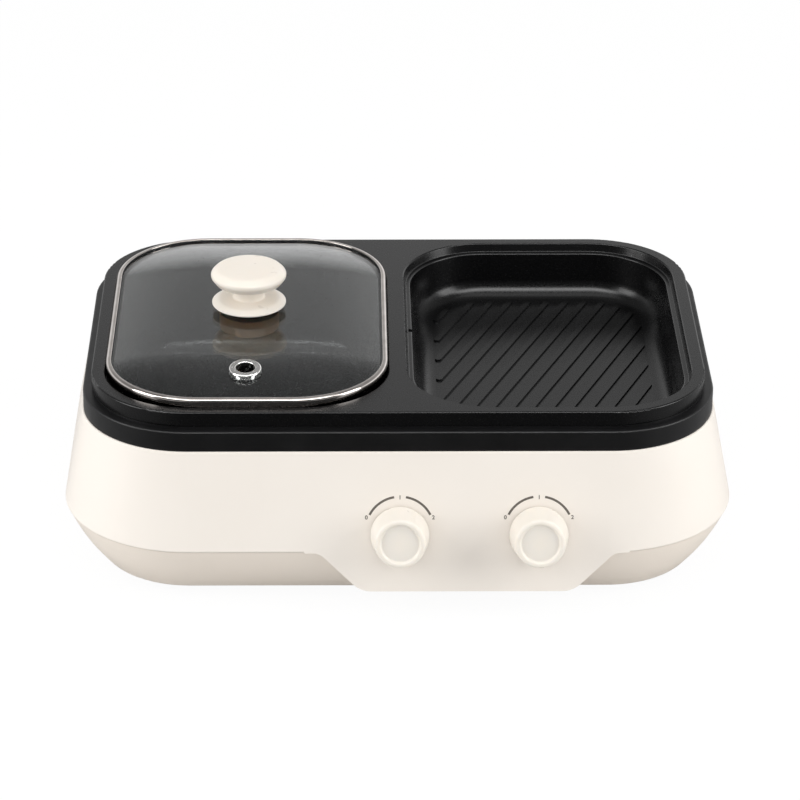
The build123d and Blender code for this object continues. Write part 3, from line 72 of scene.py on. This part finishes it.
# ---- What surrounds the object. Heights and places are parts of a direction, from -1 to 1 ----
WORLD_DIFFUSE = 0.62
SKY = ((0.27, 1.0), (0.34, 0.82), (0.43, 0.48), (0.53, 0.33), (0.65, 0.28), (1.0, 0.22))  # by height
SKY_FRONT = 0.15  # the share that is left of it on the panel's side
SKY_LENGTH = (-0.7, 0.2)  # where it rises to the whole of it
SKY_SIDES = (0.90, 1.20)  # its share at the left and at the right
SKY_WIDTH = (-0.5, 0.5)
STRIP = ((0.62, 0.0), (0.70, 1.0), (0.80, 1.0), (0.88, 0.0))  # strip light in front, by height
STRIP_GLOW = 7.0
STRIP_LENGTH = (-0.45, -0.25)  # where it fades out on its way back

# ---- Pieces whose material differs from the record's slot: a finish, or for the bottom shell the cream with painted shade ----
FINISHES_AND_PAINTED_SHADE = {"bottom_shell": "cream_shell_painted_shade", "vent_grommet": "bright_steel"}

# ---- Printed dials ----
DIAL_RADIUS = 0.0202
DIAL_RISE = 0.00335  # the arcs' centre lies this far up the panel from the knob's axis
DIAL_STROKE = 0.0014
DIAL_SPAN = 64.0  # half the arc
DIAL_GAP = 10.0  # half the gap that the middle number stands in
DIAL_STEPS = 24
PRINT_THICKNESS = 0.00006
NUMBER_HEIGHT = 0.0025
NUMBER_SHARE = 0.72  # a number's height, as a share of its font's size
NUMBER_WEIGHT = 0.00008  # how far the strokes of a number are thickened
NUMBERS = (("0", -0.0201, 0.0105), ("1", 0.0, 0.0230), ("2", 0.0200, 0.0105))  # across and up


# ---- Node helpers ----
class Graph:
    """A node tree, and short ways to wire nodes into it."""

    def __init__(self, tree):
        self.nodes, self.links = tree.nodes, tree.links
        self.nodes.clear()

    def new(self, kind, **values):
        node = self.nodes.new("ShaderNode" + kind)
        for key, value in values.items():
            node.inputs[key.replace("_", " ")].default_value = value
        return node

    def link(self, source, target):
        self.links.new(source, target)

    def split(self, vector):
        parts = self.new("SeparateXYZ")
        self.link(vector, parts.inputs[0])
        return parts.outputs

    def math(self, operation, *values):
        """A sum of sockets and plain numbers."""
        node = self.new("Math")
        node.operation = operation
        for socket, value in zip(node.inputs, values):
            if isinstance(value, bpy.types.NodeSocket):
                self.link(value, socket)
            else:
                socket.default_value = value
        return node.outputs[0]

    def span(self, source, reach, values):
        """A value that runs from the first to the last of two values over a reach of the source."""
        node = self.new("MapRange", From_Min=reach[0], From_Max=reach[1], To_Min=values[0])
        if isinstance(values[1], bpy.types.NodeSocket):
            self.link(values[1], node.inputs["To Max"])
        else:
            node.inputs["To Max"].default_value = values[1]
        self.link(source, node.inputs["Value"])
        return node.outputs["Result"]

    def ramp(self, source, *stops):
        """Colours or grey values at (position, value) stops."""
        node = self.new("ValToRGB")
        elements = node.color_ramp.elements
        while len(elements) < len(stops):
            elements.new(0.5)
        for element, (position, value) in zip(elements, stops):
            element.position = position
            grey = isinstance(value, (int, float))
            element.color = (value, value, value, 1.0) if grey else (*value, 1.0)
        self.link(source, node.inputs["Fac"])
        return node.outputs["Color"]

    def seen_rays(self):
        """A factor that is 1 for camera, mirror and glass rays and 0 for the rays that light things."""
        path = self.new("LightPath").outputs
        mirrored = self.math("MAXIMUM", path["Is Camera Ray"], path["Is Glossy Ray"])
        return self.math("MAXIMUM", mirrored, path["Is Transmission Ray"])

    def blend(self, share, first, second):
        """Two shaders mixed by a share."""
        node = self.new("MixShader")
        for socket, source in zip(node.inputs, (share, first.outputs[0], second.outputs[0])):
            self.link(source, socket)
        return node


class Shader(Graph):
    """A material with a Principled shader."""

    def __init__(self, name, **values):
        self.material = bpy.data.materials.new(name)
        self.material.use_nodes = True
        super().__init__(self.material.node_tree)
        self.surface = self.new("BsdfPrincipled", **values)
        self.link(self.surface.outputs[0], self.new("OutputMaterial").inputs["Surface"])
        self.place = self.new("TexCoord").outputs["Object"]

    def noise(self, scale, detail=2.0, roughness=0.5, stretch=None):
        """Noise of so many features per metre."""
        node = self.new("TexNoise", Scale=scale, Detail=detail, Roughness=roughness)
        source = self.place
        if stretch:
            mapping = self.new("Mapping", Scale=stretch)
            self.link(source, mapping.inputs["Vector"])
            source = mapping.outputs["Vector"]
        self.link(source, node.inputs["Vector"])
        return node.outputs["Fac"]

    def mix(self, share, first, second):
        """Two colours mixed by a share; each is a socket or a value."""
        node = self.new("Mix")
        node.data_type = "RGBA"
        for key, value in (("Factor", share), ("A", first), ("B", second)):
            socket = next(s for s in node.inputs if s.name == key and s.enabled)
            if isinstance(value, bpy.types.NodeSocket):
                self.link(value, socket)
            else:
                socket.default_value = (*value, 1.0)
        return next(s for s in node.outputs if s.enabled)

    def bump(self, height, strength, distance, normal=None):
        node = self.new("Bump", Strength=strength, Distance=distance)
        self.link(height, node.inputs["Height"])
        if normal:
            self.link(normal, node.inputs["Normal"])
        return node.outputs["Normal"]

    def set(self, key, socket):
        self.link(socket, self.surface.inputs[key])


# ---- Materials ----
def moulded_plastic(name, color, shade, roughness, grain, **values):
    """Satin moulded plastic: faint clouding, fine spark-eroded grain and slow flow ripples."""
    m = Shader(name, Specular_IOR_Level=0.42, **values)
    clouds = m.noise(14.0, 3.0)
    m.set("Base Color", m.mix(m.ramp(clouds, (0.35, 0.0), (0.7, 1.0)), color, shade))
    worn = m.noise(60.0, 3.0)
    m.set("Roughness", m.ramp(worn, (0.3, roughness - 0.03), (0.7, roughness + 0.04)))
    ripple = m.bump(m.noise(9.0, 1.0), 0.10, 0.0006)
    m.set("Normal", m.bump(m.noise(2600.0, 2.0), grain, 0.00003, ripple))
    return m.material


def cream_shell():
    return moulded_plastic("cream_shell", (0.876, 0.822, 0.757), (0.860, 0.804, 0.737), 0.36, 0.30)


# The bottom shell's cream: the shell's colours made darker and browner as painted shade, for the lower shell
# that faces down and away from the lamps.
def cream_shell_painted_shade():
    color, shade = (0.87, 0.795, 0.708), (0.855, 0.777, 0.69)
    return moulded_plastic("cream_shell_painted_shade", color, shade, 0.38, 0.34)


def cream_knob():
    """Thick plastic that lets a little light in."""
    depth = {
        "Subsurface_Weight": 0.25,
        "Subsurface_Radius": (1.0, 0.85, 0.7),
        "Subsurface_Scale": 0.008,
    }
    color, shade = (0.868, 0.805, 0.722), (0.854, 0.79, 0.705)
    return moulded_plastic("cream_knob", color, shade, 0.30, 0.18, **depth)


def black_ring():
    m = Shader("black_ring", Specular_IOR_Level=0.40)
    dark, pale = (0.0035, 0.0035, 0.0039), (0.0055, 0.0055, 0.006)
    m.set("Base Color", m.ramp(m.noise(40.0, 3.0), (0.3, dark), (0.7, pale)))
    m.set("Roughness", m.ramp(m.noise(90.0, 2.0), (0.3, 0.35), (0.7, 0.43)))
    m.set("Normal", m.bump(m.noise(1500.0, 2.0), 0.35, 0.00004))
    return m.material


def nonstick_cast():
    """Matt black coating: a fine orange-peel grain with small paler specks."""
    m = Shader("nonstick_cast", Specular_IOR_Level=0.41)
    dark, pale = (0.0014, 0.0014, 0.0016), (0.0024, 0.0024, 0.0026)
    base = m.ramp(m.noise(30.0, 3.0), (0.3, dark), (0.7, pale))
    specks = m.ramp(m.noise(2300.0, 1.0), (0.68, 0.0), (0.76, 1.0))
    m.set("Base Color", m.mix(specks, base, (0.016, 0.016, 0.017)))
    m.set("Roughness", m.ramp(m.noise(700.0, 2.0), (0.3, 0.23), (0.7, 0.28)))
    m.set("Normal", m.bump(m.noise(1500.0, 3.0, 0.6), 0.13, 0.00005))
    return m.material


def lid_glass():
    clear = (0.86, 0.88, 0.88, 1.0)
    m = Shader("lid_glass", Base_Color=clear, Transmission_Weight=1.0, IOR=1.47)
    m.set("Roughness", m.ramp(m.noise(25.0, 3.0), (0.45, 0.0), (0.8, 0.03)))
    m.set("Normal", m.bump(m.noise(7.0, 1.0), 0.05, 0.0005))
    return m.material


def stainless():
    m = Shader("stainless", Metallic=1.0)
    brushed = m.noise(900.0, 2.0, 0.5, (1.0, 1.0, 0.15))
    dark, pale = (0.56, 0.515, 0.485), (0.66, 0.62, 0.59)
    m.set("Base Color", m.ramp(m.noise(120.0, 2.0), (0.3, dark), (0.7, pale)))
    m.set("Roughness", m.ramp(brushed, (0.3, 0.04), (0.7, 0.08)))
    m.set("Normal", m.bump(m.noise(120.0, 2.0), 0.03, 0.0001))
    return m.material


def metal(name, color, worn, roughness):
    """Plain metal with stains and fine scratches."""
    m = Shader(name, Metallic=1.0)
    stains = m.ramp(m.noise(180.0, 4.0), (0.4, 0.0), (0.7, 1.0))
    m.set("Base Color", m.mix(stains, color, worn))
    uneven = m.noise(500.0, 2.0)
    m.set("Roughness", m.ramp(uneven, (0.3, roughness - 0.06), (0.7, roughness + 0.10)))
    scratches = m.noise(1200.0, 2.0, 0.5, (1.0, 0.1, 1.0))
    m.set("Normal", m.bump(scratches, 0.12, 0.00005))
    return m.material


def soft_matt(name, color, worn, roughness):
    """Rubber, phenolic, ceramic and plain plastics: matt, with grain and faint clouding."""
    m = Shader(name, Specular_IOR_Level=0.35)
    clouds = m.ramp(m.noise(70.0, 4.0), (0.35, 0.0), (0.75, 1.0))
    m.set("Base Color", m.mix(clouds, color, worn))
    uneven = m.noise(300.0, 2.0)
    m.set("Roughness", m.ramp(uneven, (0.3, roughness - 0.06), (0.7, roughness + 0.06)))
    m.set("Normal", m.bump(m.noise(900.0, 3.0), 0.35, 0.00008))
    return m.material


def printed_ink():
    m = Shader("printed_ink", Specular_IOR_Level=0.25)
    dark, pale = (0.115, 0.10, 0.085), (0.165, 0.148, 0.13)
    m.set("Base Color", m.ramp(m.noise(1800.0, 2.0), (0.3, dark), (0.7, pale)))
    m.set("Roughness", m.ramp(m.noise(900.0, 2.0), (0.3, 0.48), (0.7, 0.60)))
    m.set("Normal", m.bump(m.noise(3000.0, 2.0), 0.3, 0.00002))
    return m.material


METALS = (  # name, colour, stained colour, roughness
    ("bright_steel", (0.92, 0.91, 0.89), (0.82, 0.81, 0.79), 0.20),
    ("zinc_steel", (0.62, 0.62, 0.60), (0.50, 0.50, 0.50), 0.34),
    ("element_sheath", (0.30, 0.28, 0.27), (0.20, 0.17, 0.16), 0.48),
    ("reflector_sheet", (0.78, 0.78, 0.78), (0.70, 0.70, 0.69), 0.26),
    ("brass", (0.74, 0.56, 0.27), (0.60, 0.42, 0.20), 0.30),
)
MATT = (  # name, colour, clouded colour, roughness
    ("silicone", (0.02, 0.02, 0.02), (0.035, 0.035, 0.035), 0.55),
    # inner_seat's dark red-brown is painted reflection: the shaded underside of the lid knob's flange, as
    # mirrored in the glass
    ("inner_seat", (0.13, 0.052, 0.010), (0.09, 0.034, 0.006), 0.5),
    ("foot_rubber", (0.035, 0.035, 0.035), (0.06, 0.06, 0.058), 0.75),
    ("phenolic", (0.075, 0.045, 0.03), (0.10, 0.065, 0.045), 0.48),
    ("ceramic_white", (0.80, 0.78, 0.73), (0.72, 0.69, 0.63), 0.60),
    ("inlet_black", (0.016, 0.016, 0.017), (0.024, 0.024, 0.024), 0.42),
)


def make_materials():
    own = (cream_shell, cream_shell_painted_shade, cream_knob, black_ring, nonstick_cast)
    materials = {make.__name__: make() for make in own + (lid_glass, stainless, printed_ink)}
    materials |= {row[0]: metal(*row) for row in METALS}
    materials |= {row[0]: soft_matt(*row) for row in MATT}
    return materials


def dress(materials):
    """Give every CAD node the material of the slot that the record names, or the one listed for it above: a
    finish, or the cream with painted shade on the bottom shell.
    """
    slots = {row["node"]: row["material_slot"] for row in frame["record"]["subparts"]}
    for name, node in frame["nodes"].items():
        node.data.materials.clear()
        node.data.materials.append(materials[FINISHES_AND_PAINTED_SHADE.get(name, slots[name])])


# ---- Pieces ----
def make_mesh(name, verts, faces, material):
    mesh = bpy.data.meshes.new(name)
    mesh.from_pydata(verts, [], faces)
    mesh.update()
    mesh.materials.append(material)
    piece = bpy.data.objects.new(name, mesh)
    bpy.context.scene.collection.objects.link(piece)
    return piece


def dial_place(side):
    """Where a dial's middle lies: X to the right, Y up the panel and Z out of it."""
    joint = next(j for j in frame["joints"] if j["name"] == f"{side}_knob_turn")
    out = Vector(joint["axis"]).normalized()
    right = Vector((1.0, 0.0, 0.0))
    place = Matrix((right, out.cross(right), out)).transposed().to_4x4()
    place.translation = Vector(joint["pos_m"])
    return place


def dial_arc(side, sign, material):
    """One printed arc, from the middle number's gap to the end of the scale."""
    verts, faces = [], []
    for step in range(DIAL_STEPS + 1):
        turn = math.radians(DIAL_GAP + (DIAL_SPAN - DIAL_GAP) * step / DIAL_STEPS)
        for radius in (DIAL_RADIUS - DIAL_STROKE / 2, DIAL_RADIUS + DIAL_STROKE / 2):
            for height in (0.0, PRINT_THICKNESS):
                verts.append((sign * radius * math.sin(turn), radius * math.cos(turn), height))
    for step in range(DIAL_STEPS):
        a, b = 4 * step, 4 * step + 4
        for i, j in ((0, 1), (1, 3), (3, 2), (2, 0)):
            faces.append((a + i, a + j, b + j, b + i)[::-sign])
    last = 4 * DIAL_STEPS
    faces.append((0, 2, 3, 1)[::-sign])
    faces.append((last, last + 1, last + 3, last + 2)[::-sign])
    end = "low" if sign < 0 else "high"
    arc = make_mesh(f"{side}_dial_arc_{end}", verts, faces, material)
    arc.data.transform(dial_place(side) @ Matrix.Translation((0.0, DIAL_RISE, 0.0)))
    return arc


def dial_number(side, text, across, up, material):
    """A plain number, printed on the panel."""
    curve = bpy.data.curves.new(f"{side}_dial_number_{text}", "FONT")
    curve.body = text
    curve.size = NUMBER_HEIGHT / NUMBER_SHARE
    curve.align_x = "CENTER"
    curve.align_y = "CENTER"
    curve.extrude = PRINT_THICKNESS / 2
    curve.offset = NUMBER_WEIGHT
    letter = bpy.data.objects.new(curve.name, curve)
    bpy.context.scene.collection.objects.link(letter)
    bpy.context.view_layer.update()
    mesh = bpy.data.meshes.new_from_object(letter)
    bpy.data.objects.remove(letter)
    mesh.materials.clear()
    mesh.materials.append(material)
    piece = bpy.data.objects.new(f"{side}_dial_number_{text}", mesh)
    bpy.context.scene.collection.objects.link(piece)
    lift = Matrix.Translation((across, up, PRINT_THICKNESS / 2))
    mesh.transform(dial_place(side) @ lift)
    return piece


def make_dials(material):
    for side in ("left", "right"):
        prints = [dial_arc(side, sign, material) for sign in (-1, 1)]
        prints += [dial_number(side, *number, material) for number in NUMBERS]
        for piece in prints:
            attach(piece, "base")


# ---- Studio ----
def make_camera():
    data = bpy.data.cameras.new("camera")
    data.lens = CAMERA_LENS
    data.sensor_width = CAMERA_SENSOR
    data.shift_x = CAMERA_SHIFT
    camera = bpy.data.objects.new("camera", data)
    tilt = Matrix.Rotation(math.radians(90.0 - CAMERA_PITCH), 4, "X")
    roll = Matrix.Rotation(math.radians(CAMERA_ROLL), 4, "Z")
    camera.matrix_world = Matrix.Translation(CAMERA_PLACE) @ tilt @ roll
    bpy.context.scene.collection.objects.link(camera)
    bpy.context.scene.camera = camera


def make_lamp(name, place, size, power):
    data = bpy.data.lights.new(name, "AREA")
    data.shape = "RECTANGLE"
    data.size, data.size_y = size
    data.energy = power
    lamp = bpy.data.objects.new(name, data)
    lamp.location = place
    lamp.rotation_euler = (Vector(AIM) - Vector(place)).to_track_quat("-Z", "Y").to_euler()
    bpy.context.scene.collection.objects.link(lamp)


def make_world():
    """Even light for what is matt, and a graded sky with a strip light for mirrors and glass."""
    world = bpy.data.worlds.new("studio")
    bpy.context.scene.world = world
    world.use_nodes = True
    graph = Graph(world.node_tree)
    direction = graph.split(graph.new("TexCoord").outputs["Generated"])
    across = graph.span(direction["X"], SKY_WIDTH, SKY_SIDES)
    along = graph.span(direction["Y"], SKY_LENGTH, (SKY_FRONT, 1.0))
    share = graph.math("MULTIPLY", across, along)
    sky = graph.math("MULTIPLY", graph.ramp(direction["Z"], *SKY), share)
    glow = graph.span(direction["Y"], STRIP_LENGTH, (STRIP_GLOW, 0.0))
    strip = graph.math("MULTIPLY", graph.ramp(direction["Z"], *STRIP), glow)
    white = (1.0, 1.0, 1.0, 1.0)
    mirrored = graph.new("Background", Color=white)
    graph.link(graph.math("ADD", sky, strip), mirrored.inputs["Strength"])
    even = graph.new("Background", Color=white, Strength=WORLD_DIFFUSE)
    both = graph.blend(graph.seen_rays(), even, mirrored)
    graph.link(both.outputs[0], graph.new("OutputWorld").inputs["Surface"])


def floor_material():
    """White to the eye and pale to mirrors, dark to mirrors in front, with a soft shadow kept."""
    material = bpy.data.materials.new("studio_floor")
    material.use_nodes = True
    graph = Graph(material.node_tree)
    place = graph.split(graph.new("TexCoord").outputs["Object"])
    beside = graph.span(graph.math("ABSOLUTE", place["X"]), FLAG_SIDE, (0.0, 1.0))
    behind = graph.span(place["Y"], FLAG_BACK, (0.0, 1.0))
    fade = graph.math("MAXIMUM", beside, behind)
    gloss = graph.span(fade, (0.0, 1.0), (FLOOR_GLOSS, FLOOR_GLOSS_SIDE))
    mirrored = graph.new("LightPath").outputs["Is Glossy Ray"]
    strength = graph.span(mirrored, (0.0, 1.0), (FLOOR_GLOW, gloss))
    glow = graph.new("Emission", Color=(1.0, 1.0, 1.0, 1.0))
    graph.link(strength, glow.inputs["Strength"])
    matt = graph.new("BsdfDiffuse", Color=(*FLOOR_COLOR, 1.0))
    share = graph.math("MULTIPLY", graph.seen_rays(), FLOOR_GLOW_SHARE)
    both = graph.blend(share, matt, glow)
    graph.link(both.outputs[0], graph.new("OutputMaterial").inputs["Surface"])
    return material


def make_floor():
    half = FLOOR_SIZE / 2
    corners = [(-half, -half), (half, -half), (half, half), (-half, half)]
    verts = [(x, y, -FLOOR_DROP) for x, y in corners]
    make_mesh("studio_floor", verts, [(0, 1, 2, 3)], floor_material())


def make_studio():
    make_world()
    make_floor()
    for number, place in enumerate(SOFTBOX_PLACES):
        make_lamp(f"softbox_{number}", place, SOFTBOX_SIZE, SOFTBOX_POWER)
    make_lamp("top_box", TOP_BOX_PLACE, TOP_BOX_SIZE, TOP_BOX_POWER)
    make_lamp("key_box", KEY_PLACE, KEY_SIZE, KEY_POWER)
    bpy.context.scene.view_settings.view_transform = "Standard"


make_camera()
make_studio()
materials = make_materials()
dress(materials)
make_dials(materials["printed_ink"])
